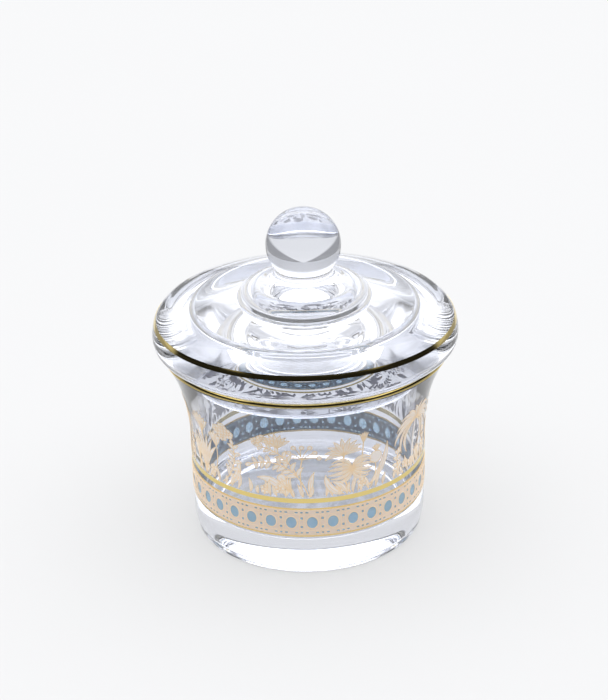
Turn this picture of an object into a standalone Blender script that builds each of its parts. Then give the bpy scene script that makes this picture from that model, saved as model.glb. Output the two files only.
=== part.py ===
"""A lidded glass pot: a flared, heavy-based cup, a domed lid with a ball knob, and its fired decoration.

Z is up and the origin is at the centre of the base. The lid lifts straight off along +Z. Every round
piece is turned about the Z axis. The gilding and the enamels are thin layers that lie just clear of
the glass, each an object of its own.
"""

import math

import bmesh
import bpy

MM = 0.001

# Clearances
GAP = 0.3 * MM  # between any two pieces that touch on the real pot

# The cup
CUP_HEIGHT = 53.3 * MM
BODY_RADIUS = 31.9 * MM
FLARE_WIDTH = 6.1 * MM  # how far the lip stands out past the straight wall
WALL = 3.0 * MM
FLOOR_THICKNESS = 8.5 * MM
BASE_CORNER_WIDTH = 1.6 * MM
BASE_CORNER_HEIGHT = 6.0 * MM
FLOOR_CORNER = 4.0 * MM
FOOT_RING_WIDTH = 4.5 * MM
PUNT_DEPTH = 0.7 * MM
FLARE_START = 25.0 * MM
FLARE_POWER = 2.5

# The lid, whose heights are above its seat on the cup's lip
LID_OVERHANG = 2.5 * MM  # past the cup's lip
CURL_WIDTH = 2.3 * MM
CURL_HEIGHT = 3.1 * MM
SHOULDER_HEIGHT = 11.2 * MM
SHOULDER_INSET = 4.9 * MM
CROWN_HEIGHT = 18.3 * MM
PLUG_DEPTH = 6.9 * MM
PLUG_CLEARANCE = 0.7 * MM
PLUG_WALL = 2.8 * MM
PLUG_DRAFT = 1.3 * MM
LEDGE_HEIGHT = 6.0 * MM
LEDGE_CORNER = 1.5 * MM
WELL_HEIGHT = 13.0 * MM
WELL_RADIUS = 15.5 * MM
WELL_CORNER = 4.5 * MM
WELL_EASE = 1.0 * MM

# The knob
BALL_RADIUS = 9.83 * MM
NECK_RADIUS = 7.6 * MM
NECK_HEIGHT = 1.9 * MM
FOOT_RADIUS = 8.9 * MM

# The fired decoration, whose heights are above the base
FILM = 0.3 * MM
RIM_BAND_ARC = (2, 44)  # degrees up from level, round the lip's own centre
LID_BAND_RISE = 6.6 * MM  # above the lid's seat
LID_BAND_WIDTH = 1.2 * MM
WIDE_BAND_RISE = 2.45 * MM  # from the cane band's upper line to the wide band, middle to middle
WIDE_BAND_WIDTH = 1.3 * MM
CANE_TOP = 19.85 * MM
CANE_BOTTOM = 11.9 * MM
CANE_LINE_WIDTH = 0.5 * MM
CANE_HOLE_WIDTH = 2.8 * MM
CANE_HOLE_HEIGHT = 3.4 * MM
CANE_REPEATS = 37
CANE_TURN = math.radians(-89)  # where the first window is centred, from +X
SPRAY_HEIGHT = 19.5 * MM
SPRAY_COUNT = 10
SPRAY_TURN = math.radians(-85)  # where the first spray starts, from +X
SPRAY_MARGIN = 1.2 * MM  # clear glass between one spray and the next

# The shares that shape the lid's two free curves, each curve's pull points measured from its ends
SIDE_PULL_LOW = 0.35
SIDE_PULL_OUT = 0.79
SIDE_PULL_HIGH = 0.22
DOME_PULL_IN = 0.32
DOME_PULL_UP = 0.37
CROWN_PULL_OUT = 0.31
CROWN_PULL_DOWN = 0.20

# The shares that shape a spray's leafy top
SPRAY_LEAST = 0.34
SPRAY_TIPS = 0.26
SPRAY_CROWN = 0.40
SPRAY_HEADS = 3
SPRAY_COLUMNS = 12
SPRAY_ROWS = 3

# How finely round shapes are divided
GLASS_SEGMENTS = 60
KNOB_SEGMENTS = 36
RING_SEGMENTS = 60
FLARE_STEPS = 6
CURVE_STEPS = 4
LIP_STEPS = 4
BALL_STEPS = 9
RIM_BAND_STEPS = 2

# Corners and mid-sides of a square, clockwise from the top
SQUARE = ((0, 1), (1, 1), (1, 0), (1, -1), (0, -1), (-1, -1), (-1, 0), (-1, 1))

# Sizes and heights that follow from the sizes above
RIM_RADIUS = BODY_RADIUS + FLARE_WIDTH
LID_RADIUS = RIM_RADIUS + LID_OVERHANG
WIDE_BAND_HEIGHT = CANE_TOP + WIDE_BAND_RISE
LIP_RADIUS = WALL / 2
LIP_CENTRE_Z = CUP_HEIGHT - LIP_RADIUS
SEAT_Z = CUP_HEIGHT + GAP
CROWN_Z = SEAT_Z + CROWN_HEIGHT
FOOT_Z = CROWN_Z + GAP
BALL_DROP = math.sqrt(BALL_RADIUS**2 - NECK_RADIUS**2)
BALL_CENTRE_Z = FOOT_Z + NECK_HEIGHT + BALL_DROP
SPRAY_FOOT_Z = WIDE_BAND_HEIGHT + WIDE_BAND_WIDTH / 2 + GAP


def clear_scene():
    """Start from an empty scene."""
    for thing in list(bpy.data.objects):
        bpy.data.objects.remove(thing, do_unlink=True)


def principled(name, colour, roughness, metallic=0.0, transmission=0.0, alpha=1.0):
    """A Principled BSDF material."""
    material = bpy.data.materials.new(name)
    material.use_nodes = True
    shader = material.node_tree.nodes["Principled BSDF"]
    shader.inputs["Base Color"].default_value = (*colour, 1.0)
    shader.inputs["Roughness"].default_value = roughness
    shader.inputs["Metallic"].default_value = metallic
    shader.inputs["Transmission Weight"].default_value = transmission
    shader.inputs["IOR"].default_value = 1.52
    shader.inputs["Alpha"].default_value = alpha
    return material


def arc(centre, radii, start, end, steps):
    """Points of an ellipse's arc in the (r, z) plane, with the angles in degrees from +r towards +z."""
    points = []
    for i in range(steps + 1):
        angle = math.radians(start + (end - start) * i / steps)
        points.append((centre[0] + radii[0] * math.cos(angle), centre[1] + radii[1] * math.sin(angle)))
    return points


def bezier(start, pull_start, pull_end, end, steps):
    """Points of a cubic curve in the (r, z) plane."""
    points = []
    for i in range(steps + 1):
        t = i / steps
        weights = ((1 - t) ** 3, 3 * t * (1 - t) ** 2, 3 * t**2 * (1 - t), t**3)
        controls = (start, pull_start, pull_end, end)
        r = sum(w * p[0] for w, p in zip(weights, controls))
        z = sum(w * p[1] for w, p in zip(weights, controls))
        points.append((r, z))
    return points


def without_repeats(outline):
    """The outline without points that lie on the one before them."""
    kept = [outline[0]]
    for point in outline[1:]:
        if math.dist(point, kept[-1]) > 1e-6:
            kept.append(point)
    return kept


def turned(name, outline, material, segments, closed=False):
    """A solid turned about Z from an anticlockwise (r, z) outline, either closed or ending on the axis."""
    outline = without_repeats(outline)
    mesh = bpy.data.meshes.new(name)
    bm = bmesh.new()
    verts = [bm.verts.new((r, 0.0, z)) for r, z in outline]
    edges = [bm.edges.new(pair) for pair in zip(verts, verts[1:])]
    if closed:
        edges.append(bm.edges.new((verts[-1], verts[0])))
    bmesh.ops.spin(
        bm,
        geom=verts + edges,
        cent=(0, 0, 0),
        axis=(0, 0, 1),
        angle=math.tau,
        steps=segments,
        use_merge=True,
    )
    bmesh.ops.remove_doubles(bm, verts=bm.verts, dist=1e-6)
    bmesh.ops.recalc_face_normals(bm, faces=bm.faces)
    bm.to_mesh(mesh)
    bm.free()
    return placed(name, mesh, material)


def placed(name, mesh, material):
    """An object for the mesh, smoothly shaded and in the scene."""
    mesh.materials.append(material)
    mesh.shade_smooth()
    mesh.set_sharp_from_angle(angle=math.radians(35))
    thing = bpy.data.objects.new(name, mesh)
    bpy.context.scene.collection.objects.link(thing)
    return thing


def cup_radius(z):
    """The cup's outer radius at a height: a straight wall, then a flare that quickens towards the lip."""
    rise = max(z - FLARE_START, 0.0) / (LIP_CENTRE_Z - FLARE_START)
    return BODY_RADIUS + (RIM_RADIUS - BODY_RADIUS) * rise**FLARE_POWER


def flare(inset, low, high):
    """Points up the cup's wall between two heights, inset from the outside."""
    heights = [low + (high - low) * i / FLARE_STEPS for i in range(FLARE_STEPS + 1)]
    return [(cup_radius(z) - inset, z) for z in heights]


def make_cup(material):
    """The cup: thick floor with a shallow punt under it, straight wall, flared mouth and rounded lip."""
    contact = BODY_RADIUS - BASE_CORNER_WIDTH
    punt = contact - FOOT_RING_WIDTH
    bore = BODY_RADIUS - WALL
    lip_centre = (RIM_RADIUS - LIP_RADIUS, LIP_CENTRE_Z)
    outline = [(0.0, PUNT_DEPTH), (punt - PUNT_DEPTH, PUNT_DEPTH), (punt, 0.0)]
    outline += arc((contact, BASE_CORNER_HEIGHT), (BASE_CORNER_WIDTH, BASE_CORNER_HEIGHT), -90, 0, 3)
    outline += flare(0.0, FLARE_START, LIP_CENTRE_Z)
    outline += arc(lip_centre, (LIP_RADIUS, LIP_RADIUS), 0, 180, LIP_STEPS)
    outline += reversed(flare(WALL, FLARE_START, LIP_CENTRE_Z))
    corner = (bore - FLOOR_CORNER, FLOOR_THICKNESS + FLOOR_CORNER)
    outline += arc(corner, (FLOOR_CORNER, FLOOR_CORNER), 0, -90, 3)
    outline.append((0.0, FLOOR_THICKNESS))
    return turned("cup_body", outline, material, GLASS_SEGMENTS)


def lid_side():
    """The lid's outside from the seat's edge to its shoulder: an inward curl, the widest point, the side."""
    widest = SEAT_Z + CURL_HEIGHT
    curl = arc((LID_RADIUS - CURL_WIDTH, widest), (CURL_WIDTH, CURL_HEIGHT), -90, 0, 3)
    shoulder = (LID_RADIUS - SHOULDER_INSET, SEAT_Z + SHOULDER_HEIGHT)
    lift = shoulder[1] - widest
    side = bezier(
        (LID_RADIUS, widest),
        (LID_RADIUS, widest + SIDE_PULL_LOW * lift),
        (shoulder[0] + SIDE_PULL_OUT * SHOULDER_INSET, shoulder[1] - SIDE_PULL_HIGH * lift),
        shoulder,
        CURVE_STEPS + 1,
    )
    return curl + side[1:]


def lid_dome():
    """The lid's outside from the shoulder to the flat crown under the knob."""
    shoulder = (LID_RADIUS - SHOULDER_INSET, SEAT_Z + SHOULDER_HEIGHT)
    crown = (FOOT_RADIUS + GAP, CROWN_Z)
    run = shoulder[0] - crown[0]
    rise = crown[1] - shoulder[1]
    return bezier(
        shoulder,
        (shoulder[0] - DOME_PULL_IN * run, shoulder[1] + DOME_PULL_UP * rise),
        (crown[0] + CROWN_PULL_OUT * run, crown[1] - CROWN_PULL_DOWN * rise),
        crown,
        CURVE_STEPS,
    )


def lid_hollow(throat):
    """The hollow under the lid, from the axis out: a well under the crown, then a ledge out to the throat."""
    well_z = SEAT_Z + WELL_HEIGHT
    ledge_z = SEAT_Z + LEDGE_HEIGHT
    well_corner = (WELL_RADIUS - WELL_CORNER, well_z - WELL_CORNER)
    ledge_corner = (throat - LEDGE_CORNER, ledge_z - LEDGE_CORNER)
    hollow = [(0.0, well_z)]
    hollow += arc(well_corner, (WELL_CORNER, WELL_CORNER), 90, 0, CURVE_STEPS)
    hollow += arc((WELL_RADIUS + WELL_EASE, ledge_z + WELL_EASE), (WELL_EASE, WELL_EASE), 180, 270, 2)
    hollow += arc(ledge_corner, (LEDGE_CORNER, LEDGE_CORNER), 90, 0, 2)
    return hollow


def make_lid(material):
    """The lid's glass: a heavy dome whose side curls in to a seat, with a plug that drops into the mouth."""
    tip_z = SEAT_Z - PLUG_DEPTH
    tip_radius = PLUG_WALL / 2
    plug_foot = cup_radius(tip_z) - WALL - PLUG_CLEARANCE
    plug_root = plug_foot + PLUG_DRAFT
    outline = lid_hollow(plug_foot - PLUG_WALL)
    outline += arc((plug_foot - tip_radius, tip_z + tip_radius), (tip_radius, tip_radius), -180, 0, 4)
    outline.append((plug_root, SEAT_Z))
    outline += lid_side()[:-1] + lid_dome()
    outline.append((0.0, CROWN_Z))
    return turned("lid_shell", outline, material, GLASS_SEGMENTS)


def make_knob(material):
    """The solid glass ball on its short neck, which spreads to a foot on the lid's crown."""
    neck_z = FOOT_Z + NECK_HEIGHT
    neck_angle = -math.degrees(math.atan2(BALL_DROP, NECK_RADIUS))
    outline = [(0.0, FOOT_Z)]
    outline += bezier(
        (FOOT_RADIUS, FOOT_Z),
        (FOOT_RADIUS - 0.8 * (FOOT_RADIUS - NECK_RADIUS), FOOT_Z + 0.15 * NECK_HEIGHT),
        (NECK_RADIUS, neck_z - 0.6 * NECK_HEIGHT),
        (NECK_RADIUS, neck_z),
        3,
    )
    outline += arc((0.0, BALL_CENTRE_Z), (BALL_RADIUS, BALL_RADIUS), neck_angle, 90, BALL_STEPS)[1:-1]
    outline.append((0.0, BALL_CENTRE_Z + BALL_RADIUS))
    return turned("lid_knob", outline, material, KNOB_SEGMENTS)


def band(name, glass_radius, low, high, material):
    """A thin ring round the glass between two heights, where glass_radius(z) is the glass's outside."""
    outline = [(glass_radius(z) + GAP + FILM, z) for z in (low, high)]
    outline += [(glass_radius(z) + GAP, z) for z in (high, low)]
    return turned(name, outline, material, RING_SEGMENTS, closed=True)


def make_lid_band(material):
    """The gilt band round the lid's side, following its slope."""
    side = lid_side()

    def lid_radius(z):
        for (r_low, z_low), (r_high, z_high) in zip(side, side[1:]):
            if z_low <= z <= z_high:
                return r_low + (r_high - r_low) * (z - z_low) / (z_high - z_low)
        return LID_RADIUS

    low = SEAT_Z + LID_BAND_RISE
    return band("lid_gilt_band", lid_radius, low, low + LID_BAND_WIDTH, material)


def make_rim_band(material):
    """The gilding round the outer half of the cup's rounded lip, under the lid's seat."""
    centre = (RIM_RADIUS - LIP_RADIUS, LIP_CENTRE_Z)
    inner = LIP_RADIUS + GAP
    outer = inner + FILM
    outline = arc(centre, (outer, outer), *RIM_BAND_ARC, RIM_BAND_STEPS)
    outline += arc(centre, (inner, inner), *reversed(RIM_BAND_ARC), RIM_BAND_STEPS)
    return turned("rim_gilt_band", outline, material, RING_SEGMENTS, closed=True)


def make_cane_lattice(material):
    """The woven-cane enamel over the blue: a pierced ring with one oval window in each repeat."""
    low = CANE_BOTTOM + CANE_LINE_WIDTH / 2 + GAP
    high = CANE_TOP - CANE_LINE_WIDTH / 2 - GAP
    middle = (low + high) / 2
    radius = BODY_RADIUS + 2 * GAP + FILM
    pitch = math.tau / CANE_REPEATS
    hole_angle = CANE_HOLE_WIDTH / 2 / radius
    bm = bmesh.new()

    def point(angle, z):
        return bm.verts.new((radius * math.cos(angle), radius * math.sin(angle), z))

    for repeat in range(CANE_REPEATS):
        centre = CANE_TURN + repeat * pitch
        frame = []
        hole = []
        for i, (across, along) in enumerate(SQUARE):
            turn = math.tau * i / len(SQUARE)
            frame.append(point(centre + across * pitch / 2, middle + along * (high - low) / 2))
            hole.append(
                point(centre + math.sin(turn) * hole_angle, middle + math.cos(turn) * CANE_HOLE_HEIGHT / 2)
            )
        for i in range(len(SQUARE)):
            j = (i + 1) % len(SQUARE)
            bm.faces.new((frame[i], hole[i], hole[j], frame[j]))
    return sheet_of("cane_lattice", bm, material)


def sheet_of(name, bm, material):
    """A thin solid from a one-sided sheet whose faces look outwards, thickened away from the glass."""
    bmesh.ops.remove_doubles(bm, verts=bm.verts, dist=1e-6)
    mesh = bpy.data.meshes.new(name)
    bm.to_mesh(mesh)
    bm.free()
    thing = placed(name, mesh, material)
    thicken = thing.modifiers.new("Film thickness", "SOLIDIFY")
    thicken.thickness = FILM
    thicken.offset = 1.0
    return thing


def spray_top(share):
    """The height of a spray's leafy outline, as a share of the whole, across its width from 0 to 1."""
    heads = abs(math.sin(SPRAY_HEADS * math.pi * share))
    crown = math.sin(math.pi * share) * (1 + heads) / 2
    return SPRAY_LEAST + SPRAY_TIPS * heads + SPRAY_CROWN * crown


def make_spray(index, material):
    """One spray of the floral print: a curved plate with a leafy top, standing on the wide gilt band."""
    share = math.tau / SPRAY_COUNT
    margin = SPRAY_MARGIN / (BODY_RADIUS + GAP)
    start = SPRAY_TURN + index * share + margin / 2
    bm = bmesh.new()
    grid = []
    for i in range(SPRAY_COLUMNS + 1):
        angle = start + (share - margin) * i / SPRAY_COLUMNS
        height = SPRAY_HEIGHT * spray_top(i / SPRAY_COLUMNS)
        column = []
        for j in range(SPRAY_ROWS + 1):
            z = SPRAY_FOOT_Z + height * j / SPRAY_ROWS
            radius = cup_radius(z) + GAP
            column.append(bm.verts.new((radius * math.cos(angle), radius * math.sin(angle), z)))
        grid.append(column)
    for left, right in zip(grid, grid[1:]):
        for j in range(SPRAY_ROWS):
            bm.faces.new((left[j], right[j], right[j + 1], left[j + 1]))
    return sheet_of(f"floral_spray_{index + 1:02d}", bm, material)


def make_cup_decoration(gilt, fine_gilt, blue, beige):
    """Every fired layer on the cup, from the lip down."""
    half_wide = WIDE_BAND_WIDTH / 2
    half_line = CANE_LINE_WIDTH / 2
    pieces = [make_rim_band(gilt)]
    pieces += [make_spray(i, beige) for i in range(SPRAY_COUNT)]
    pieces.append(
        band("cup_gilt_band", cup_radius, WIDE_BAND_HEIGHT - half_wide, WIDE_BAND_HEIGHT + half_wide, gilt)
    )
    for place, z in (("upper", CANE_TOP), ("lower", CANE_BOTTOM)):
        pieces.append(band(f"cane_gilt_line_{place}", cup_radius, z - half_line, z + half_line, fine_gilt))
    pieces.append(
        band(
            "blue_enamel_band",
            cup_radius,
            CANE_BOTTOM + half_line + GAP,
            CANE_TOP - half_line - GAP,
            blue,
        )
    )
    pieces.append(make_cane_lattice(beige))
    return pieces


def hang(pieces, name, location):
    """Parent the pieces to an empty that stands for one moving body, leaving them where they are."""
    empty = bpy.data.objects.new(name, None)
    empty.location = location
    bpy.context.scene.collection.objects.link(empty)
    bpy.context.view_layer.update()
    for piece in pieces:
        piece.parent = empty
        piece.matrix_parent_inverse = empty.matrix_world.inverted()


def main():
    clear_scene()
    glass = principled("clear_glass", (0.93, 0.94, 0.96), 0.03, transmission=1.0, alpha=0.35)
    gilt = principled("burnished_gold", (0.83, 0.63, 0.22), 0.15, metallic=1.0)
    fine_gilt = principled("fired_gold_line", (0.76, 0.57, 0.25), 0.3, metallic=1.0)
    blue = principled("blue_enamel", (0.21, 0.43, 0.63), 0.25)
    beige = principled("beige_enamel", (0.66, 0.53, 0.39), 0.4)
    cup = [make_cup(glass)] + make_cup_decoration(gilt, fine_gilt, blue, beige)
    lid = [make_lid(glass), make_knob(glass), make_lid_band(gilt)]
    hang(cup, "cup", (0.0, 0.0, 0.0))
    hang(lid, "lid", (0.0, 0.0, SEAT_Z))


main()
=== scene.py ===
# %% [markdown]
# # A lidded glass dappen dish
#
# The real object is two pieces of clear pressed glass, a flared cup and a domed lid with a ball knob. They
# are decorated with burnished gold bands, a translucent blue band under woven cane, and a beige botanical
# print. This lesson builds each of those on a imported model, which gives the sizes and the moving bodies.

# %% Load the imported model
import math
import random

import bmesh
import bpy
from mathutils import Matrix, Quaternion, Vector
from mathutils.geometry import delaunay_2d_cdt


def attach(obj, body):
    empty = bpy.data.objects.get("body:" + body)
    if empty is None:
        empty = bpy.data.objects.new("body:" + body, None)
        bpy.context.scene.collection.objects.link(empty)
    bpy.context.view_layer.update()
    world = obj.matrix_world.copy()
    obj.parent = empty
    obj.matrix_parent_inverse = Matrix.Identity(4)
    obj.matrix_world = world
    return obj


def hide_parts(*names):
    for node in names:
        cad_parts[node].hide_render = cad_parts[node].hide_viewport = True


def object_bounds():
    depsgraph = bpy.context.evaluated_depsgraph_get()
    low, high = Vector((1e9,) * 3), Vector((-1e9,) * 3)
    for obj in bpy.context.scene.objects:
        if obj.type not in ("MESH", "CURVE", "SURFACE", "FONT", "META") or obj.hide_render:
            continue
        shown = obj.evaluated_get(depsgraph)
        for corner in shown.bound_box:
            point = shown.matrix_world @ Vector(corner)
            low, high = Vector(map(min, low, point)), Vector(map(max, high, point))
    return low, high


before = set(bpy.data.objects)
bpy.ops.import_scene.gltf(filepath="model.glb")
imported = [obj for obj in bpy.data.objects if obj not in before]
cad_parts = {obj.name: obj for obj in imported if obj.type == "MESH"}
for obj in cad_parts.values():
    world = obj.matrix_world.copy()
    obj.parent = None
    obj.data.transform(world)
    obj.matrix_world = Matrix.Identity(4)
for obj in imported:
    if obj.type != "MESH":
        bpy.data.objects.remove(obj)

cad_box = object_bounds()
print("size in mm:", [round(1000 * side, 1) for side in cad_box[1] - cad_box[0]])

# %% [markdown]
# ## Helpers for every piece
#
# Glass, gilding and enamel are all made in three steps: points on a flat outline, a mesh from the points,
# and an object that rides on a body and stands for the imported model's node. Short helpers keep each of
# those steps in one place. All sizes are in metres, so MM turns millimetres into them.

# %% Helpers: sizes and curves
MM = 0.001


def arc(centre, radii, start, end, steps):
    """Points of an ellipse's arc in the (r, z) plane, with the angles in degrees from +r towards +z."""
    turns = [math.radians(start + (end - start) * i / steps) for i in range(steps + 1)]
    return [(centre[0] + radii[0] * math.cos(t), centre[1] + radii[1] * math.sin(t)) for t in turns]


def bezier(points, steps):
    """Points of the cubic curve with four control points, in as many dimensions as they have."""
    curve = []
    for i in range(steps + 1):
        t = i / steps
        weights = ((1 - t) ** 3, 3 * t * (1 - t) ** 2, 3 * t**2 * (1 - t), t**3)
        curve.append(tuple(sum(w * p[k] for w, p in zip(weights, points)) for k in range(len(points[0]))))
    return curve


def shrunk(points, inset):
    """An (r, z) curve moved to its left by inset, which is inwards on an anticlockwise outline."""
    moved = []
    for i, (r, z) in enumerate(points):
        before, after = points[max(i - 1, 0)], points[min(i + 1, len(points) - 1)]
        run = (after[0] - before[0], after[1] - before[1])
        length = math.hypot(*run)
        moved.append((r - inset * run[1] / length, z + inset * run[0] / length))
    return moved


# %% Helpers: meshes
def made(name, verts, faces, material, body, slot, nodes, sharp=35):
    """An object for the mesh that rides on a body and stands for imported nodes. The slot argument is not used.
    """
    mesh = bpy.data.meshes.new(name)
    mesh.from_pydata(verts, [], faces)
    mesh.validate()
    for finish in material if isinstance(material, list) else [material]:
        mesh.materials.append(finish)
    mesh.shade_smooth()
    mesh.set_sharp_from_angle(angle=math.radians(sharp))
    piece = bpy.data.objects.new(name, mesh)
    bpy.context.scene.collection.objects.link(piece)
    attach(piece, body)
    if nodes:
        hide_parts(*nodes)
    print(f"{name}: {len(mesh.vertices)} points, {len(mesh.polygons)} faces")
    return piece


def lathe(outline, segments, closed):
    """Verts and faces of an anticlockwise (r, z) outline turned about Z, closed or ending on the axis."""
    verts, rings = [], []
    for r, z in outline:
        if r < 1e-7:
            rings.append([len(verts)] * segments)
            verts.append((0.0, 0.0, z))
            continue
        rings.append(list(range(len(verts), len(verts) + segments)))
        for k in range(segments):
            turn = math.tau * k / segments
            verts.append((r * math.cos(turn), r * math.sin(turn), z))
    pairs = list(zip(rings, rings[1:]))
    if closed:
        pairs.append((rings[-1], rings[0]))
    faces = []
    for low, high in pairs:
        for k in range(segments):
            j = (k + 1) % segments
            corners = [low[k], low[j], high[j], high[k]]
            faces.append(tuple(dict.fromkeys(corners)))
    return verts, faces


# %% Helpers: colours and nodes
def linear(code):
    """An sRGB hex colour as linear red, green, blue and alpha."""
    shares = [int(code[i : i + 2], 16) / 255 for i in (1, 3, 5)]
    return tuple(s / 12.92 if s <= 0.04045 else ((s + 0.055) / 1.055) ** 2.4 for s in shares) + (1.0,)


def add(tree, kind, settings=None, **inputs):
    """A node of a kind with its settings, whose inputs are values, or outputs of other nodes to link."""
    node = tree.nodes.new(kind)
    for name, value in (settings or {}).items():
        setattr(node, name, value)
    for name, value in inputs.items():
        key = int(name[1:]) if name[0] == "i" and name[1:].isdigit() else name.replace("_", " ")
        socket = node.inputs[key]
        if isinstance(value, bpy.types.NodeSocket):
            tree.links.new(value, socket)
        else:
            socket.default_value = value
    return node


def finish_of(name):
    """A new node material with its Principled shader: (material, tree, shader)."""
    material = bpy.data.materials.new(name)
    material.use_nodes = True
    tree = material.node_tree
    return material, tree, tree.nodes["Principled BSDF"]


# %% [markdown]
# ## The camera
#
# The dish is seen from the front and a little above, about 25 degrees, through a short telephoto lens
# from 40 cm. That keeps both ellipses of the lid and the base open. The camera leans by about a degree,
# as a hand-levelled one does. It aims a hair left of the axis, so no lens shift is needed.

# %% The camera
AIM = Vector((-0.47 * MM, 0, 50.15 * MM))
DISTANCE = 0.400
ELEVATION = math.radians(24.71)
LEAN = math.radians(-1.42)
towards = Vector((0, -math.cos(ELEVATION), math.sin(ELEVATION)))
lens = bpy.data.cameras.new("studio camera")
lens.lens = 76.93
lens.sensor_width = 36.0
camera = bpy.data.objects.new("studio camera", lens)
camera.rotation_mode = "QUATERNION"
camera.location = AIM + DISTANCE * towards
camera.rotation_quaternion = (-towards).to_track_quat("-Z", "Y") @ Quaternion((0, 0, 1), LEAN)
bpy.context.scene.collection.objects.link(camera)
bpy.context.scene.camera = camera
print("camera at", [round(c, 3) for c in camera.location])

# %% [markdown]
# ## The studio
#
# Clear glass has almost no look of its own: it shows what stands round it. A tabletop studio for glass
# has a white floor that runs on as the background, a broad light on each side that leans over the
# object, and an unlit room behind the camera, whose darkness draws the edges. Separate lamps would do it,
# but small bright ones make grainy light through glass. A sky made of nodes gives the same shapes with
# smooth light, so the whole studio is one sky and one floor.
#
# Two things here aren't as in a real studio. The floor glows a little by itself, which keeps it even. The
# camera sees that glow everywhere, but the glass sees it only on a board near the dish, so that the dark
# room beyond still draws its edges. The camera also sees a plain pale sky that lights nothing.

# %% The floor
FLOOR_RADIUS = 6.0
FLOOR_DROP = 0.02 * MM  # under the dish's foot
BOARD_HALF = 0.22  # how far the glow reaches in front and to the sides
BOARD_EVEN = 0.7  # the share of that before it fades
FLOOR_GLOW = 0.54
FLOOR_TONE = (0.170, 0.176)


def smooth(tree, value, low, high):
    """0 below low, 1 above high, and a smooth step between."""
    easing = {"interpolation_type": "SMOOTHSTEP"}
    return add(tree, "ShaderNodeMapRange", easing, Value=value, From_Min=low, From_Max=high).outputs[0]


def worked(tree, operation, first, second):
    """One step of arithmetic on two numbers or outputs."""
    return add(tree, "ShaderNodeMath", {"operation": operation}, i0=first, i1=second).outputs[0]


def product(tree, first, *others):
    """Several numbers or outputs multiplied together."""
    for other in others:
        first = worked(tree, "MULTIPLY", first, other)
    return first


def pale_floor():
    """Matt white board, very slightly uneven in tone, as painted board is."""
    material, tree, shader = finish_of("matt white board")
    place = add(tree, "ShaderNodeTexCoord")
    tone = add(tree, "ShaderNodeTexNoise", Vector=place.outputs["Object"], Scale=3.0, Detail=2.0)
    pale = add(tree, "ShaderNodeMapRange", Value=tone.outputs["Fac"],
               To_Min=FLOOR_TONE[0], To_Max=FLOOR_TONE[1]).outputs[0]
    colour = add(tree, "ShaderNodeCombineColor", Red=pale, Green=pale, Blue=pale)
    tree.links.new(colour.outputs[0], shader.inputs["Base Color"])
    shader.inputs["Roughness"].default_value = 0.9
    shader.inputs["Specular IOR Level"].default_value = 0.0
    shader.inputs["Emission Color"].default_value = (1.0, 1.0, 1.0, 1.0)
    axes = add(tree, "ShaderNodeSeparateXYZ", Vector=place.outputs["Object"])
    aside = worked(tree, "ABSOLUTE", axes.outputs["X"], 0.0)
    even = BOARD_HALF * BOARD_EVEN
    ahead = smooth(tree, axes.outputs["Y"], -BOARD_HALF, -even)
    board = product(tree, smooth(tree, aside, BOARD_HALF, even), ahead)
    path = add(tree, "ShaderNodeLightPath")
    board = worked(tree, "MAXIMUM", board, path.outputs["Is Camera Ray"])
    tree.links.new(product(tree, board, FLOOR_GLOW), shader.inputs["Emission Strength"])
    return material


mesh = bpy.data.meshes.new("floor")
bm = bmesh.new()
bmesh.ops.create_circle(bm, cap_ends=True, segments=64, radius=FLOOR_RADIUS)
bm.to_mesh(mesh)
bm.free()
mesh.materials.append(pale_floor())
floor = bpy.data.objects.new("floor", mesh)
floor.location.z = cad_box[0].z - FLOOR_DROP
bpy.context.scene.collection.objects.link(floor)
print("floor at", round(floor.location.z, 6))

# %% The sky: directions
ROOM, WINDOW, OVERHEAD, HIGH_BACK, AMBIENT = 0.70, 1.10, 2.4, 1.3, 0.015  # how bright each part glows

world = bpy.data.worlds.new("glass studio")
bpy.context.scene.world = world
world.use_nodes = True
tree = world.node_tree
tree.nodes.clear()
place = add(tree, "ShaderNodeTexCoord")
axes = add(tree, "ShaderNodeSeparateXYZ", Vector=place.outputs["Generated"])
across, back, up = axes.outputs
side = worked(tree, "ABSOLUTE", across, 0.0)
flat = worked(tree, "POWER", worked(tree, "SUBTRACT", 1.0, product(tree, up, up)), 0.5)
behind = worked(tree, "DIVIDE", back, flat)

# %% The sky: what glows
# The walls and ceiling, apart from the unlit room: low in front, and a strip at table height on the sides.
beside_dish = product(tree, smooth(tree, up, 0.36, 0.46), smooth(tree, behind, -0.72, -0.50))
lit = worked(tree, "MAXIMUM", smooth(tree, up, 0.50, 0.72), beside_dish)
lit = worked(tree, "MAXIMUM", lit, smooth(tree, behind, 0.25, 0.42))
# The two broad side lights, which leave a dimmer gap in the middle.
window = product(tree, smooth(tree, side, 0.24, 0.30), smooth(tree, up, 0.42, 0.50),
                 worked(tree, "SUBTRACT", 1.0, smooth(tree, back, 0.30, 0.42)),
                 smooth(tree, back, -0.62, -0.50))
# The strong soft light overhead, and a weaker one high behind, which the dome reflects.
overhead = product(tree, smooth(tree, up, 0.56, 0.78), OVERHEAD)
high_back = product(tree, smooth(tree, back, 0.20, 0.45), smooth(tree, up, 0.22, 0.40), HIGH_BACK)
glow = worked(tree, "ADD", product(tree, lit, ROOM), product(tree, window, WINDOW))
glow = worked(tree, "ADD", glow, worked(tree, "MAXIMUM", overhead, high_back))
light = add(tree, "ShaderNodeBackground", Color=linear("#FBFCFF"), Strength=worked(tree, "ADD", glow, AMBIENT))
seen = add(tree, "ShaderNodeBackground", Color=linear("#F8F8F8"), Strength=1.0)
path = add(tree, "ShaderNodeLightPath")
mixed = add(tree, "ShaderNodeMixShader", Fac=path.outputs["Is Camera Ray"],
            i1=light.outputs[0], i2=seen.outputs[0])
add(tree, "ShaderNodeOutputWorld", Surface=mixed.outputs[0])
print("sky nodes:", len(tree.nodes))

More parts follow.
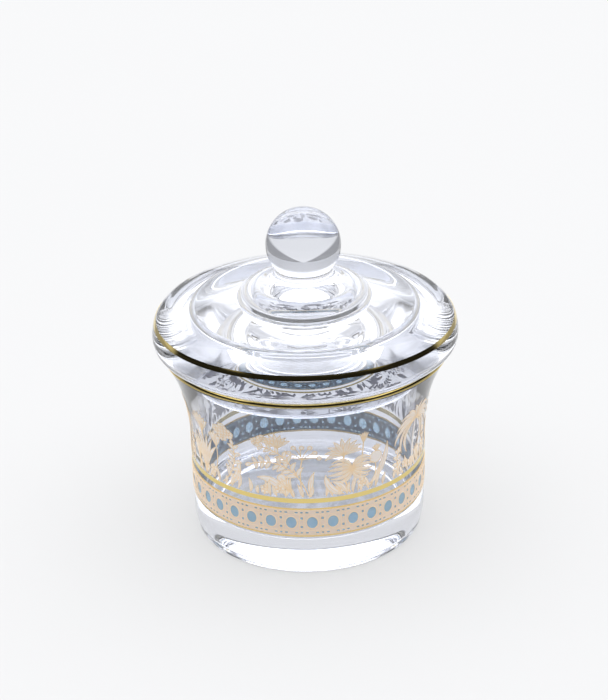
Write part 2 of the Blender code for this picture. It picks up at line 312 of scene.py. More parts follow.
# %% Glass needs long light paths
scene = bpy.context.scene
scene.view_settings.view_transform = "Standard"
scene.cycles.max_bounces = 32
scene.cycles.transmission_bounces = 32
scene.cycles.glossy_bounces = 12
scene.cycles.diffuse_bounces = 4
scene.cycles.transparent_max_bounces = 16

# %% [markdown]
# ## Clear glass
#
# Pressed soda-lime glass, fire-polished: the flame melts away the mould's marks and leaves a very faint
# waviness. It could be a bare glass shader, but a perfectly even one looks like plastic. A little slow
# noise in the bump bends what is seen through it, and a trace of colour gives the cool grey of thick glass.

# %% Material: fire-polished soda-lime glass
def clear_glass():
    """Clear glass with a slow ripple in its skin."""
    material, tree, shader = finish_of("fire-polished soda-lime glass")
    place = add(tree, "ShaderNodeTexCoord")
    ripple_size = 9 * MM  # one slow swell of the polished skin
    ripple = add(tree, "ShaderNodeTexNoise", Vector=place.outputs["Object"], Scale=1 / ripple_size,
                 Detail=2.0)
    bump = add(tree, "ShaderNodeBump", Height=ripple.outputs["Fac"], Strength=0.12, Distance=0.10 * MM)
    tree.links.new(bump.outputs[0], shader.inputs["Normal"])
    shader.inputs["Base Color"].default_value = linear("#EEF0F6")
    shader.inputs["Transmission Weight"].default_value = 1.0
    shader.inputs["Roughness"].default_value = 0.0
    shader.inputs["IOR"].default_value = 1.52
    return material


glass = clear_glass()

# %% [markdown]
# ## The cup
#
# The cup is one solid of revolution: a heavy floor, a straight wall, a mouth that flares faster and faster,
# and a rounded lip. Turning one outline about Z is how the real mould is shaped too. It is turned in many
# small steps, because refraction shows every facet.

# %% The cup's sizes
CUP_HEIGHT, BODY_RADIUS, RIM_RADIUS = 53.3 * MM, 31.9 * MM, 38.0 * MM
WALL, FLOOR_THICKNESS, PUNT_DEPTH = 3.0 * MM, 8.5 * MM, 0.7 * MM
BASE_CORNER = (1.6 * MM, 6.0 * MM)
FLOOR_CORNER, FOOT_RING_WIDTH = 4.0 * MM, 4.5 * MM
FLARE_START, FLARE_POWER = 25.0 * MM, 2.5
LIP_RADIUS = WALL / 2
LIP_CENTRE_Z = CUP_HEIGHT - LIP_RADIUS
SMOOTH_TURN = 256


def cup_radius(z):
    """The cup's outer radius at a height: a straight wall, then a flare that quickens to the lip."""
    rise = max(z - FLARE_START, 0.0) / (LIP_CENTRE_Z - FLARE_START)
    return BODY_RADIUS + (RIM_RADIUS - BODY_RADIUS) * rise**FLARE_POWER


# %% The cup's glass
def cup_outline():
    """The cup's section, anticlockwise from the middle of the punt to the middle of its floor."""
    contact = BODY_RADIUS - BASE_CORNER[0]
    punt = contact - FOOT_RING_WIDTH
    bore = BODY_RADIUS - WALL
    wall = [FLARE_START + (LIP_CENTRE_Z - FLARE_START) * i / 40 for i in range(41)]
    straight = [(BODY_RADIUS, BASE_CORNER[1] + (FLARE_START - BASE_CORNER[1]) * i / 6) for i in range(1, 6)]
    inner = [(bore, FLARE_START - 3 * MM * i) for i in range(1, 4)]
    corner = (bore - FLOOR_CORNER, FLOOR_THICKNESS + FLOOR_CORNER)
    outline = [(0.0, PUNT_DEPTH), (punt * 0.5, PUNT_DEPTH), (punt - 2 * PUNT_DEPTH, PUNT_DEPTH)]
    outline += bezier([(punt - PUNT_DEPTH, PUNT_DEPTH * 0.9), (punt - 0.3 * PUNT_DEPTH, PUNT_DEPTH * 0.6),
                       (punt, 0.1 * PUNT_DEPTH), (punt + 1 * MM, 0.0)], 8)
    outline += arc((contact, BASE_CORNER[1]), BASE_CORNER, -90, 0, 20)
    outline += straight + [(cup_radius(z), z) for z in wall]
    outline += arc((RIM_RADIUS - LIP_RADIUS, LIP_CENTRE_Z), (LIP_RADIUS, LIP_RADIUS), 0, 180, 24)[1:]
    outline += [(cup_radius(z) - WALL, z) for z in reversed(wall[:-1])] + inner
    outline += arc(corner, (FLOOR_CORNER, FLOOR_CORNER), 0, -90, 20)
    outline += [(corner[0] * 0.5, FLOOR_THICKNESS), (0.0, FLOOR_THICKNESS)]
    return outline


cup = made("cup_glass", *lathe(cup_outline(), SMOOTH_TURN, False), glass, "cup", "clear_glass", ["cup_body"])

# %% [markdown]
# ## The lid and its knob
#
# The real lid is one piece of glass by the time it is finished, because the ball is joined on hot. Two
# overlapping glass solids would show a false boundary where they meet, so the lid and the knob are turned
# from one outline: plug, seat, curled edge, side, dome, neck and ball.

# %% The lid's sizes
GAP = 0.3 * MM
SEAT_Z = CUP_HEIGHT + GAP
LID_RADIUS = 40.5 * MM
CURL = (2.3 * MM, 3.1 * MM)
SHOULDER = (LID_RADIUS - 4.9 * MM, SEAT_Z + 11.2 * MM)
CROWN_Z = SEAT_Z + 18.3 * MM
FOOT_Z = CROWN_Z + GAP
PLUG_DEPTH, PLUG_CLEARANCE, PLUG_WALL, PLUG_DRAFT = 6.9 * MM, 0.7 * MM, 2.8 * MM, 1.3 * MM
BALL_RADIUS, NECK_RADIUS, NECK_HEIGHT, FOOT_RADIUS = 9.83 * MM, 7.6 * MM, 1.9 * MM, 8.9 * MM
WELL_Z, WELL_RADIUS, WELL_CORNER = SEAT_Z + 13.0 * MM, 15.5 * MM, 4.5 * MM
LEDGE_Z, LEDGE_CORNER, EASE = SEAT_Z + 6.0 * MM, 1.5 * MM, 1.0 * MM
BALL_DROP = math.sqrt(BALL_RADIUS**2 - NECK_RADIUS**2)
BALL_CENTRE_Z = FOOT_Z + NECK_HEIGHT + BALL_DROP


def lid_side():
    """From the seat's edge to the shoulder: an inward curl, the widest point and the side."""
    widest = SEAT_Z + CURL[1]
    lift, inset = SHOULDER[1] - widest, LID_RADIUS - SHOULDER[0]
    pulls = [(LID_RADIUS, widest), (LID_RADIUS, widest + 0.35 * lift),
             (SHOULDER[0] + 0.79 * inset, SHOULDER[1] - 0.22 * lift), SHOULDER]
    return arc((LID_RADIUS - CURL[0], widest), CURL, -90, 0, 16) + bezier(pulls, 30)[1:]


def lid_dome():
    """From the shoulder to the flat crown under the knob."""
    crown = (FOOT_RADIUS + GAP, CROWN_Z)
    run, rise = SHOULDER[0] - crown[0], crown[1] - SHOULDER[1]
    return bezier([SHOULDER, (SHOULDER[0] - 0.32 * run, SHOULDER[1] + 0.37 * rise),
                   (crown[0] + 0.31 * run, crown[1] - 0.20 * rise), crown], 36)


def knob():
    """From the crown up the pinched neck and round the ball to its top."""
    neck_z = FOOT_Z + NECK_HEIGHT
    pinch = 0.8 * (FOOT_RADIUS - NECK_RADIUS)
    neck = bezier([(FOOT_RADIUS, FOOT_Z), (FOOT_RADIUS - pinch, FOOT_Z + 0.15 * NECK_HEIGHT),
                   (NECK_RADIUS, neck_z - 0.6 * NECK_HEIGHT), (NECK_RADIUS, neck_z)], 12)
    angle = -math.degrees(math.atan2(BALL_DROP, NECK_RADIUS))
    ball = arc((0.0, BALL_CENTRE_Z), (BALL_RADIUS, BALL_RADIUS), angle, 90, 60)[1:-1]
    return neck + ball + [(0.0, BALL_CENTRE_Z + BALL_RADIUS)]


# %% The lid's glass
def lid_outline():
    """The lid's section, from the middle of its hollow round the plug and the dome to the ball's top."""
    outside = lid_side()[:-1] + lid_dome()
    tip_z, tip_radius = SEAT_Z - PLUG_DEPTH, PLUG_WALL / 2
    plug_foot = cup_radius(tip_z) - WALL - PLUG_CLEARANCE
    plug_root = plug_foot + PLUG_DRAFT
    throat = plug_foot - PLUG_WALL
    hollow = (WELL_RADIUS - WELL_CORNER, WELL_Z - WELL_CORNER)
    outline = [(0.0, WELL_Z), (hollow[0] * 0.5, WELL_Z)]
    outline += arc(hollow, (WELL_CORNER, WELL_CORNER), 90, 0, 20)
    outline += arc((WELL_RADIUS + EASE, LEDGE_Z + EASE), (EASE, EASE), 180, 270, 10)
    outline += arc((throat - LEDGE_CORNER, LEDGE_Z - LEDGE_CORNER), (LEDGE_CORNER, LEDGE_CORNER), 90, 0, 12)
    outline += arc((plug_foot - tip_radius, tip_z + tip_radius), (tip_radius, tip_radius), -180, 0, 24)
    outline += [(plug_root, SEAT_Z - 0.6 * MM), (plug_root + 0.6 * MM, SEAT_Z)] + outside
    return outline + knob()


lid = made("lid_glass", *lathe(lid_outline(), SMOOTH_TURN, False), glass, "lid", "clear_glass",
           ["lid_shell", "lid_knob"])

# %% [markdown]
# ## Gold bands
#
# Liquid bright gold is brushed on while the pot turns on a wheel, fired, and rubbed. It could be a painted
# stripe on the glass, but gold lies on top and its edge catches light, so each band is a thin ring that
# follows the glass. The fine lines beside the cane are left duller, as they are laid with a pen.

# %% Gold: the finish
STREAKS = (60, 60, 2600)  # streaks to a metre, across and up: long ones round the band


def burnished_gold(name, code, roughness):
    """Bright gold, fired on and rubbed with agate: the wheel leaves faint streaks along the band."""
    material, tree, shader = finish_of(name)
    place = add(tree, "ShaderNodeTexCoord")
    along = add(tree, "ShaderNodeMapping", Vector=place.outputs["Object"], Scale=STREAKS)
    streak = add(tree, "ShaderNodeTexNoise", Vector=along.outputs[0], Scale=1.0, Detail=3.0)
    rough = add(tree, "ShaderNodeMapRange", Value=streak.outputs["Fac"], From_Min=0.3, From_Max=0.7,
                To_Min=roughness * 0.6, To_Max=roughness * 1.5)
    tree.links.new(rough.outputs[0], shader.inputs["Roughness"])
    bump = add(tree, "ShaderNodeBump", Height=streak.outputs["Fac"], Strength=0.3, Distance=0.01 * MM)
    tree.links.new(bump.outputs[0], shader.inputs["Normal"])
    shader.inputs["Base Color"].default_value = linear(code)
    shader.inputs["Metallic"].default_value = 1.0
    return material


bright_gold = burnished_gold("burnished gold", "#E3CD86", 0.10)
line_gold = burnished_gold("fired gold line", "#E2C587", 0.25)

# %% Gold: rings that follow the glass
LIFT = 0.03 * MM
GILD = 0.05 * MM


def ring(name, points, material, body, slot, node):
    """A thin ring on the glass: the outline's points, lifted, and a skin's thickness further out."""
    outer = shrunk(points, -(LIFT + GILD))
    inner = shrunk(points, -LIFT)
    return made(name, *lathe(outer + list(reversed(inner)), SMOOTH_TURN, True), material, body, slot, [node])


def spread(low, high, steps):
    """Even steps from low to high, with both ends."""
    return [low + (high - low) * i / steps for i in range(steps + 1)]


def lid_side_at(z):
    """The lid's outer radius at a height on its side."""
    side = lid_side()
    for (r0, z0), (r1, z1) in zip(side, side[1:]):
        if z0 <= z <= z1 and z1 > z0:
            return r0 + (r1 - r0) * (z - z0) / (z1 - z0)
    return LID_RADIUS


LID_BAND = (SEAT_Z + 6.6 * MM, SEAT_Z + 7.8 * MM)
WIDE_BAND = (21.65 * MM, 22.95 * MM)
CANE_LINES = {"lower": 11.9 * MM, "upper": 19.85 * MM}
FINE_LINE = 0.5 * MM
lip = arc((RIM_RADIUS - LIP_RADIUS, LIP_CENTRE_Z), (LIP_RADIUS, LIP_RADIUS), 2, 44, 10)


def on_wall(low, high, steps):
    """The cup's wall between two heights."""
    return [(cup_radius(z), z) for z in spread(low, high, steps)]


lid_band = [(lid_side_at(z), z) for z in spread(*LID_BAND, 6)]
ring("lid_gilding", lid_band, bright_gold, "lid", "burnished_gold", "lid_gilt_band")
ring("rim_gilding", lip, bright_gold, "cup", "burnished_gold", "rim_gilt_band")
ring("cup_gilding", on_wall(*WIDE_BAND, 4), bright_gold, "cup", "burnished_gold", "cup_gilt_band")
for place in ("upper", "lower"):
    z = CANE_LINES[place]
    line = on_wall(z - FINE_LINE / 2, z + FINE_LINE / 2, 2)
    ring(f"{place}_gold_line", line, line_gold, "cup", "fired_gold_line", f"cane_gilt_line_{place}")

# %% [markdown]
# ## The blue band
#
# The blue is a translucent enamel flooded on the glass between the two fine gold lines. It could be a tint
# in the glass itself, but then it would show through the whole thickness. As a thin ring it glows where the
# light comes through it, and the cane is laid over it.

# %% The blue band
def blue_stain():
    """Blue glass powder melted into a film: half clear, half milky, and slightly uneven."""
    material, tree, shader = finish_of("translucent blue enamel")
    place = add(tree, "ShaderNodeTexCoord")
    grain = add(tree, "ShaderNodeTexNoise", Vector=place.outputs["Object"], Scale=1 / (1.1 * MM), Detail=3.0)
    tint = add(tree, "ShaderNodeMix", {"data_type": "RGBA"}, Factor=grain.outputs["Fac"],
               i6=linear("#98D0F4"), i7=linear("#C2E6FC"))
    tree.links.new(tint.outputs[2], shader.inputs["Base Color"])
    shader.inputs["Transmission Weight"].default_value = 0.50
    shader.inputs["Subsurface Weight"].default_value = 0.80
    shader.inputs["Subsurface Radius"].default_value = (0.8, 0.95, 1.0)
    shader.inputs["Subsurface Scale"].default_value = 0.6 * MM
    shader.inputs["Roughness"].default_value = 0.15
    shader.inputs["IOR"].default_value = 1.5
    return material


blue = on_wall(CANE_LINES["lower"] + GAP, CANE_LINES["upper"] - GAP, 6)
ring("blue_enamel", blue, blue_stain(), "cup", "blue_enamel", "blue_enamel_band")

# %% [markdown]
# ## Drawing with enamel
#
# Enamel is printed on a transfer sheet and fired on, so it stands a few hundredths of a millimetre proud of
# the glass. It could be a picture wrapped on the cup, but a picture has no edge to catch the light. Here
# every stroke is a real low ridge: a path on the unrolled wall, a width along it, and a domed section.
# Strokes are drawn in millimetres, u round the cup and v up from a foot line, and then laid on the wall.

# %% A stroke of enamel
GROUND, LINE, BACK = 0, 1, 2  # the fill, the drawn outline, and the side that touches the glass
ENAMEL = 0.05


def new_sheet(turn, foot):
    """An empty transfer sheet that starts at an angle round the cup and stands on a height in mm."""
    return {"turn": turn, "foot": foot, "verts": [], "faces": [], "marks": [], "count": 0}


def on_cup(sheet, u, v, lift):
    """The point on the cup's wall for a place on the sheet, raised by lift mm."""
    z = (sheet["foot"] + v) * MM
    radius = cup_radius(z) + lift * MM
    turn = sheet["turn"] + u * MM / BODY_RADIUS
    return (radius * math.cos(turn), radius * math.sin(turn), z)


def stroke(sheet, path, half_widths, mark, base=0.03, height=ENAMEL, closed=False):
    """A ridge of enamel along a path, with a domed top and a flat back."""
    first, count = len(sheet["verts"]), len(path)
    for i, (u, v) in enumerate(path):
        before = path[i - 1] if closed or i else path[0]
        after = path[(i + 1) % count] if closed or i < count - 1 else path[-1]
        run = (after[0] - before[0], after[1] - before[1])
        length = math.hypot(*run) or 1.0
        side = (-run[1] / length * half_widths[i], run[0] / length * half_widths[i])
        for share, lift in ((1, 0.0), (0.86, height), (0, height * 1.35), (-0.86, height), (-1, 0.0)):
            sheet["verts"].append(on_cup(sheet, u + side[0] * share, v + side[1] * share, base + lift))
    for i in range(count if closed else count - 1):
        here, there = first + 5 * i, first + 5 * ((i + 1) % count)
        for k in range(5):
            j = (k + 1) % 5
            sheet["faces"].append((here + k, here + j, there + j, there + k))
            sheet["marks"].append(BACK if k == 4 else mark)
    if not closed:
        last = first + 5 * (count - 1)
        sheet["faces"] += [tuple(range(first + 4, first - 1, -1)), tuple(range(last, last + 5))]
        sheet["marks"] += [mark, mark]


def laid(name, sheet, material, slot, nodes):
    """The sheet's strokes as one piece on the cup."""
    piece = made(name, sheet["verts"], sheet["faces"], material, "cup", slot, nodes, sharp=60)
    piece.data.polygons.foreach_set("material_index", sheet["marks"])
    return piece


# %% Leaves, petals and dots
LINE_WIDTH = 0.21  # mm, as drawn with a fine brush


def bent(start, end, bend, steps=12):
    """A path between two places that bows to its left by bend, a share of its length."""
    run = (end[0] - start[0], end[1] - start[1])
    bow = bend * 1.3
    pulls = [(start[0] + run[0] * t - run[1] * bow, start[1] + run[1] * t + run[0] * bow) for t in (0.3, 0.7)]
    return bezier([start, *pulls, end], steps)


def beside(path, offsets):
    """The path moved sideways by an offset at each point."""
    moved = []
    for i, (u, v) in enumerate(path):
        before, after = path[max(i - 1, 0)], path[min(i + 1, len(path) - 1)]
        run = (after[0] - before[0], after[1] - before[1])
        length = math.hypot(*run) or 1.0
        moved.append((u - run[1] / length * offsets[i], v + run[0] / length * offsets[i]))
    return moved


def leaf(sheet, start, end, width, bend=0.0, fullest=0.5, rib=True):
    """A filled leaf or petal with drawn edges and a rib. Fullest is where it is widest, from 0 to 1."""
    path = bent(start, end, bend)
    power = math.log(0.5) / math.log(fullest)
    steps = len(path) - 1
    halves = [max(width / 2 * math.sin(math.pi * (i / steps) ** power) ** 0.85, 0.04) for i in range(steps + 1)]
    base = 0.03 + 0.006 * (sheet["count"] % 9)
    sheet["count"] += 1
    stroke(sheet, path, halves, GROUND, base)
    line = [LINE_WIDTH / 2] * (steps + 1)
    for side in (1, -1):
        edge = beside(path, [side * max(h - LINE_WIDTH / 2, 0) for h in halves])
        stroke(sheet, edge, line, LINE, base + 0.012)
    if rib:
        stroke(sheet, path[: int(steps * 0.8)], [0.09] * int(steps * 0.8), LINE, base + 0.03)


def stem(sheet, path, width=0.34):
    """A drawn stem."""
    stroke(sheet, path, [width / 2] * len(path), LINE, 0.035)


def dot(sheet, centre, radius, rings=8):
    """A round berry, bud or flower centre with a drawn edge."""
    turns = [math.pi * i / rings for i in range(rings + 1)]
    path = [(centre[0], centre[1] - radius * math.cos(t)) for t in turns]
    stroke(sheet, path, [max(radius * math.sin(t), 0.03) for t in turns], GROUND, 0.06)
    inner, around = radius - 0.1, [math.tau * k / 16 for k in range(16)]
    edge = [(centre[0] + inner * math.cos(t), centre[1] + inner * math.sin(t)) for t in around]
    stroke(sheet, edge, [0.11] * 16, LINE, 0.085, closed=True)


# %% [markdown]
# ## Plants for the frieze
#
# The print is a frieze of garden plants in ten sprays. A copied drawing would be someone's own work, so
# these are plain plant forms drawn from a few rules: how many petals, how far they spread, how they droop.

# %% Plants
def polar(centre, length, degrees):
    """The place at a distance and an angle from another."""
    turn = math.radians(degrees)
    return (centre[0] + length * math.cos(turn), centre[1] + length * math.sin(turn))


def fan(sheet, centre, count, first, last, length, width, bend=0.0, fullest=0.55, rib=True):
    """Petals or leaves spread from one place between two angles, the middle ones in front."""
    count, width = count + 2, width * 0.74
    order = sorted(range(count), key=lambda i: -abs(i - (count - 1) / 2))
    for i in order:
        share = i / max(count - 1, 1)
        lean = (share - 0.5) * 2
        end = polar(centre, length * (1 - 0.12 * abs(lean)), first + (last - first) * share)
        leaf(sheet, centre, end, width, bend * lean, fullest, rib)


def blossom(sheet, centre, radius, petals=6):
    """A round open flower."""
    for i in range(petals):
        turn = 360 * i / petals + 12
        inner, tip = polar(centre, radius * 0.2, turn), polar(centre, radius, turn)
        leaf(sheet, inner, tip, radius * 0.9, 0, 0.62, False)
    dot(sheet, centre, radius * 0.3)


def sprig(sheet, path, pairs, length, width, lean=52):
    """A stem with paired leaflets that shorten to its tip."""
    stem(sheet, path)
    for i in range(pairs):
        k = int((0.25 + 0.7 * i / max(pairs - 1, 1)) * (len(path) - 1))
        along = math.degrees(math.atan2(path[k][1] - path[k - 1][1], path[k][0] - path[k - 1][0]))
        size = length * (1 - 0.45 * i / pairs)
        for side in (1, -1):
            leaf(sheet, path[k], polar(path[k], size, along + side * lean), width, -0.14 * side, 0.5, False)
    along = math.degrees(math.atan2(path[-1][1] - path[-2][1], path[-1][0] - path[-2][0]))
    leaf(sheet, path[-1], polar(path[-1], length * 0.6, along), width, 0, 0.5, False)


def umbel(sheet, foot, head, rays, spread, length, berry):
    """A bare stem whose top splits into rays, each with a round bud."""
    stem(sheet, bent(foot, head, 0.06))
    for i in range(rays):
        tip = polar(head, length * (1 - 0.1 * (i % 2)), 90 + spread * (i / (rays - 1) - 0.5))
        stem(sheet, bent(head, tip, 0.08 * (1 if i < rays / 2 else -1), 6), 0.22)
        dot(sheet, tip, berry)


def undergrowth(sheet, width, seed):
    """Low leaves and small flowers that close the foot of the frieze."""
    chance = random.Random(seed)
    u = 0.9
    while u < width - 0.7:
        height = 2.4 + 3.6 * chance.random()
        lean = 3.0 * (chance.random() - 0.5)
        tip = (min(max(u + lean, 0.5), width - 0.5), height)
        leaf(sheet, (u, 0.15), tip, 1.05, 0.3 * (chance.random() - 0.5), 0.45)
        u += 1.5 + 0.9 * chance.random()
    for k in range(2):
        u = 2.2 + (width - 4.4) * (k + 0.6 * chance.random()) / 2.6
        blossom(sheet, (u, 1.7 + 1.2 * chance.random()), 1.35, 5)


# %% Five sprays, drawn in mm on a sheet 18.8 wide and 19.5 tall
def tulip_spray(sheet):
    fan(sheet, (5.2, 0.3), 5, 128, 62, 12.5, 1.7, 0.10)
    stem(sheet, bent((6.0, 0.2), (4.6, 12.6), 0.05))
    fan(sheet, (4.6, 12.4), 5, 134, 50, 6.2, 2.0, 0.12, 0.5)
    stem(sheet, bent((8.5, 0.2), (10.4, 10.2), -0.06))
    fan(sheet, (10.4, 10.0), 3, 125, 60, 5.0, 2.3, 0.16, 0.5)
    sprig(sheet, bent((12.0, 0.4), (16.4, 12.6), -0.14), 5, 3.4, 1.15)
    for place in ((13.4, 14.6), (15.6, 15.9), (14.0, 17.4), (11.9, 16.2)):
        blossom(sheet, place, 1.55, 6)
    leaf(sheet, (14.2, 0.3), (17.9, 8.8), 1.8, -0.12)
    fan(sheet, (1.6, 0.4), 3, 112, 78, 9.0, 1.3, 0.1)


def branch_spray(sheet):
    arch = bezier([(16.4, 0.6), (13.5, 9.5), (8.0, 11.6), (1.6, 8.6)], 20)
    sprig(sheet, arch, 7, 3.3, 1.2, 62)
    sprig(sheet, bezier([(13.6, 6.6), (11.0, 12.0), (8.5, 14.0), (4.6, 14.6)], 16), 5, 2.9, 1.05, 50)
    fan(sheet, (9.0, 14.4), 5, 150, 40, 4.9, 1.5, 0.1)
    for place in ((3.4, 15.9), (5.2, 17.1), (7.0, 16.2)):
        blossom(sheet, place, 1.3, 5)
    umbel(sheet, (15.2, 0.3), (15.0, 11.2), 7, 168, 4.3, 0.66)
    fan(sheet, (12.6, 0.3), 4, 138, 96, 6.4, 1.4, 0.12)
    leaf(sheet, (10.6, 0.3), (3.0, 4.9), 2.2, -0.2)
    leaf(sheet, (17.2, 0.3), (18.0, 7.5), 1.4, 0.08)
    dot(sheet, (9.6, 5.6), 1.2)


def umbel_spray(sheet):
    umbel(sheet, (6.4, 0.3), (6.0, 11.4), 8, 190, 4.8, 0.72)
    fan(sheet, (6.0, 11.4), 5, 140, 40, 3.2, 1.2, 0.1, 0.5, False)
    umbel(sheet, (11.2, 0.3), (12.0, 8.4), 6, 170, 3.4, 0.6)
    sprig(sheet, bezier([(14.2, 0.4), (17.0, 4.0), (17.4, 8.0), (15.2, 12.8)], 16), 5, 2.7, 1.05, 50)
    fan(sheet, (8.8, 0.3), 6, 150, 30, 7.6, 1.5, 0.14)
    leaf(sheet, (3.4, 0.3), (0.9, 9.6), 1.7, 0.12)
    leaf(sheet, (4.6, 0.3), (3.4, 7.6), 1.4, -0.1)
    blossom(sheet, (14.6, 14.6), 1.9, 7)
    leaf(sheet, (16.4, 0.4), (18.1, 6.2), 1.3, -0.1)


def lily_spray(sheet):
    stem(sheet, bent((7.4, 0.3), (5.6, 11.8), 0.08), 0.5)
    fan(sheet, (5.6, 11.6), 7, 190, 8, 5.6, 1.9, 0.16, 0.5)
    fan(sheet, (7.8, 7.4), 4, 215, 158, 6.6, 1.4, -0.3, 0.45)
    fan(sheet, (7.8, 7.4), 4, -32, 24, 6.4, 1.4, 0.3, 0.45)
    stem(sheet, bent((9.4, 0.3), (10.6, 14.6), -0.03))
    fan(sheet, (10.6, 14.2), 3, 110, 70, 3.8, 1.2, 0.1)
    dot(sheet, (14.6, 9.0), 1.9)
    fan(sheet, (14.6, 10.6), 3, 130, 50, 2.4, 0.9, 0.1, 0.5, False)
    stem(sheet, bent((13.0, 0.3), (14.6, 7.2), -0.1))
    leaf(sheet, (12.2, 1.0), (18.0, 12.6), 1.8, -0.14)
    leaf(sheet, (5.6, 0.3), (0.8, 6.4), 1.9, 0.18)
    leaf(sheet, (6.4, 0.3), (2.6, 4.2), 1.5, -0.12)


def palm_spray(sheet):
    trunk = bezier([(8.6, 0.2), (9.8, 5.0), (9.0, 9.5), (9.2, 14.6)], 14)
    stroke(sheet, trunk, [0.55 - 0.25 * i / 14 for i in range(15)], GROUND, 0.03)
    crown = (9.2, 14.6)
    for i, (reach, drop) in enumerate(((8.3, 5.0), (8.0, 1.2), (6.8, -2.0), (4.4, -3.9), (1.5, -4.7))):
        for side in (1, -1):
            tip = (crown[0] + side * reach, crown[1] - drop)
            leaf(sheet, crown, tip, 1.5, side * (0.24 if drop > -3 else 0.1), 0.5)
    for i, (reach, drop) in enumerate(((5.4, 8.2), (3.0, 8.8))):
        for side in (1, -1):
            leaf(sheet, crown, (crown[0] + side * reach, crown[1] - drop), 1.15, side * 0.30, 0.55)
    sprig(sheet, bent((3.4, 0.3), (2.4, 7.4), 0.1), 4, 2.3, 1.0)
    sprig(sheet, bent((14.6, 0.3), (16.2, 7.8), -0.1), 4, 2.3, 1.0)
    fan(sheet, (11.6, 0.3), 3, 112, 68, 5.6, 1.4, 0.1)


# %% Enamel finishes
def fired_enamel(name, code, dark, roughness, through):
    """Opaque enamel: coloured glass powder melted on, so it is slightly mottled and softly glossy."""
    material, tree, shader = finish_of(name)
    place = add(tree, "ShaderNodeTexCoord")
    grain = add(tree, "ShaderNodeTexNoise", Vector=place.outputs["Object"], Scale=1 / (0.7 * MM), Detail=3.0)
    tint = add(tree, "ShaderNodeMix", {"data_type": "RGBA"}, Factor=grain.outputs["Fac"],
               i6=linear(dark), i7=linear(code))
    tree.links.new(tint.outputs[2], shader.inputs["Base Color"])
    bump = add(tree, "ShaderNodeBump", Height=grain.outputs["Fac"], Strength=0.4, Distance=0.01 * MM)
    tree.links.new(bump.outputs[0], shader.inputs["Normal"])
    shader.inputs["Roughness"].default_value = roughness
    shader.inputs["Transmission Weight"].default_value = through
    shader.inputs["IOR"].default_value = 1.5
    return material


enamels = [fired_enamel("beige fired enamel", "#FBF3EC", "#F3E9E0", 0.50, 0.08),
           fired_enamel("tan outline enamel", "#F6DDBA", "#EFD0A4", 0.40, 0.0),
           fired_enamel("lilac ground enamel", "#EFEBF2", "#E6E1EA", 0.55, 0.35)]

# %% The ten sprays
SPRAY_COUNT = 10
SPRAY_MARGIN = 1.2
SPRAY_WIDTH = math.tau * BODY_RADIUS / MM / SPRAY_COUNT - SPRAY_MARGIN
SPRAY_FOOT = 23.25
SPRAY_START = math.radians(-85)
DESIGNS = (lily_spray, palm_spray, umbel_spray, branch_spray, tulip_spray,
           lily_spray, umbel_spray, palm_spray, tulip_spray, branch_spray)
for index in range(SPRAY_COUNT):
    turn = SPRAY_START + math.tau * index / SPRAY_COUNT + SPRAY_MARGIN / 2 * MM / BODY_RADIUS
    sheet = new_sheet(turn, SPRAY_FOOT)
    undergrowth(sheet, SPRAY_WIDTH, index)
    DESIGNS[index](sheet)
    laid(f"enamel_spray_{index + 1:02d}", sheet, enamels, "beige_enamel", [f"floral_spray_{index + 1:02d}"])

# %% [markdown]
# ## The woven cane band
#
# A printed cane band copies a caned chair seat: oval windows between crossing strands, with small gaps
# where the strands part. Weaving each strand would bury the windows' clean ovals, so the band is one thin
# sheet, cut through where the windows are, with every window's edge and the strands' edges drawn on it.

# %% The cane's openings
CANE_REPEATS = 37
CANE_PITCH = math.tau * BODY_RADIUS / MM / CANE_REPEATS
CANE_MIDDLE = 15.875
CANE_HALF = 3.72
CANE_FIRST = math.radians(-89)


def oval(centre, across, along, steps, power=1.0):
    """Points round an oval, or a round-cornered rectangle when power is well below 1."""
    points = []
    for k in range(steps):
        c, s = math.cos(math.tau * k / steps), math.sin(math.tau * k / steps)
        u, v = math.copysign(abs(c) ** power, c), math.copysign(abs(s) ** power, s)
        points.append((centre[0] + across * u, centre[1] + along * v))
    return points


def openings(u):
    """The windows and gaps of one repeat, whose big window is centred at u."""
    half = CANE_PITCH / 2
    loops = [oval((u, 0), 1.40, 1.68, 24)]
    for side in (1, -1):
        loops.append(oval((u + half, 1.28 * side), 0.36, 0.40, 8, 0.6))
        for shift, width in ((0, 0.36), (-1.37, 0.44), (1.37, 0.44)):
            loops.append(oval((u + half + shift, 3.0 * side), width, 0.27, 8, 0.6))
    return loops


# %% The cane's sheet
seam = CANE_PITCH / 2 - 0.65
length = CANE_PITCH * CANE_REPEATS
loops = []
for k in range(CANE_REPEATS):
    for loop in openings((k + 1) * CANE_PITCH):
        past = sum(p[0] for p in loop) / len(loop) > seam + length
        loops.append([(u - length, v) if past else (u, v) for u, v in loop])
steps = CANE_REPEATS * 8
edge_u = [seam + length * i / steps for i in range(steps + 1)]
sides = [-CANE_HALF + 2 * CANE_HALF * i / 8 for i in range(9)]
border = [(u, -CANE_HALF) for u in edge_u] + [(edge_u[-1], v) for v in sides[1:-1]]
border += [(u, CANE_HALF) for u in reversed(edge_u)] + [(edge_u[0], v) for v in reversed(sides[1:-1])]


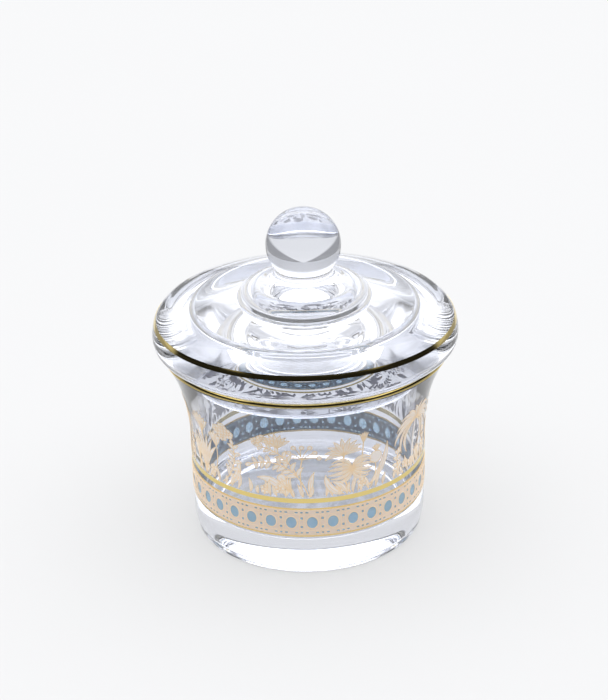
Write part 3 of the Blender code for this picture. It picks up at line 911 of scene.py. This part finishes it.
def pierced(border, loops):
    """Triangles of the area inside the border and outside every loop."""
    points, edges = [], []
    for loop in [border] + loops:
        first = len(points)
        points += [Vector(p) for p in loop]
        edges += [(first + k, first + (k + 1) % len(loop)) for k in range(len(loop))]
    found = delaunay_2d_cdt(points, edges, [], 0, 1e-5)
    centres = [tuple(sum(p[k] for p in loop) / len(loop) for k in (0, 1)) for loop in loops]
    reach = [max(p[0] for p in loop) - c[0] for loop, c in zip(loops, centres)]
    rise = [max(p[1] for p in loop) - c[1] for loop, c in zip(loops, centres)]
    kept = []
    for corners in found[2]:
        u = sum(found[0][k][0] for k in corners) / 3
        v = sum(found[0][k][1] for k in corners) / 3
        if not any(abs(u - c[0]) < a and abs(v - c[1]) < b and ((u - c[0]) / a) ** 2 + ((v - c[1]) / b) ** 2 < 1
                   for c, a, b in zip(centres, reach, rise)):
            kept.append(tuple(corners))
    return found[0], kept


flat, triangles = pierced(border, loops)
print("cane sheet:", len(flat), "points,", len(triangles), "triangles")

# %% The cane's sheet, wrapped and thickened
CANE_BASE, CANE_SHEET = 0.09, 0.05
cane = new_sheet(CANE_FIRST - CANE_PITCH * MM / BODY_RADIUS, CANE_MIDDLE)
bm = bmesh.new()
corners = [bm.verts.new(on_cup(cane, u, v, CANE_BASE)) for u, v in flat]
for a, b, c in triangles:
    bm.faces.new((corners[a], corners[b], corners[c]))
bmesh.ops.remove_doubles(bm, verts=bm.verts, dist=0.002 * MM)
bmesh.ops.delete(bm, geom=[v for v in bm.verts if not v.link_faces], context="VERTS")
bmesh.ops.recalc_face_normals(bm, faces=bm.faces)
bm.verts.index_update()
count = len(bm.verts)
grow = 1 + CANE_SHEET * MM / BODY_RADIUS
outward = sum(f.normal.dot(f.calc_center_median()) > 0 for f in bm.faces) * 2 > len(bm.faces)
cane["verts"] = [tuple(v.co) for v in bm.verts] + [(v.co.x * grow, v.co.y * grow, v.co.z) for v in bm.verts]
for face in bm.faces:
    loop = [v.index for v in face.verts] if outward else [v.index for v in reversed(face.verts)]
    cane["faces"] += [tuple(k + count for k in loop), tuple(reversed(loop))]
    cane["marks"] += [GROUND, BACK]
for edge in bm.edges:
    if len(edge.link_faces) == 1:
        loop = [v.index for v in edge.link_faces[0].verts]
        loop = loop if outward else list(reversed(loop))
        a, b = edge.verts[0].index, edge.verts[1].index
        if loop[(loop.index(a) + 1) % 3] != b:
            a, b = b, a
        cane["faces"].append((b, a, a + count, b + count))
        cane["marks"].append(LINE)
bm.free()

# %% The drawn edges of the cane
for k in range(CANE_REPEATS):
    u = (k + 1) * CANE_PITCH
    half = CANE_PITCH / 2
    window, *gaps = openings(u)
    stroke(cane, oval((u, 0), 1.53, 1.81, 28), [0.13] * 28, LINE, CANE_BASE + CANE_SHEET, 0.03, closed=True)
    for gap in gaps:
        centre = (sum(p[0] for p in gap) / 8, sum(p[1] for p in gap) / 8)
        edge = [(centre[0] + (p[0] - centre[0]) * 1.25, centre[1] + (p[1] - centre[1]) * 1.3) for p in gap]
        stroke(cane, edge, [0.07] * 8, LINE, CANE_BASE + CANE_SHEET, 0.03, closed=True)
    for side in (1, -1):
        rail = [(u - half + CANE_PITCH * i / 8, 2.32 * side) for i in range(9)]
        stroke(cane, rail, [0.06] * 9, LINE, CANE_BASE + CANE_SHEET, 0.02)
        post = [(u + half + 0.55 * side, -2.2 + 4.4 * i / 8) for i in range(9)]
        stroke(cane, post, [0.06] * 9, LINE, CANE_BASE + CANE_SHEET, 0.02)
cane_ground = fired_enamel("warm beige fired enamel", "#EBD9C9", "#E0CCBA", 0.50, 0.08)
cane_enamels = [cane_ground, enamels[LINE], enamels[BACK]]
laid("cane_lattice_print", cane, cane_enamels, "beige_enamel", ["cane_lattice"])
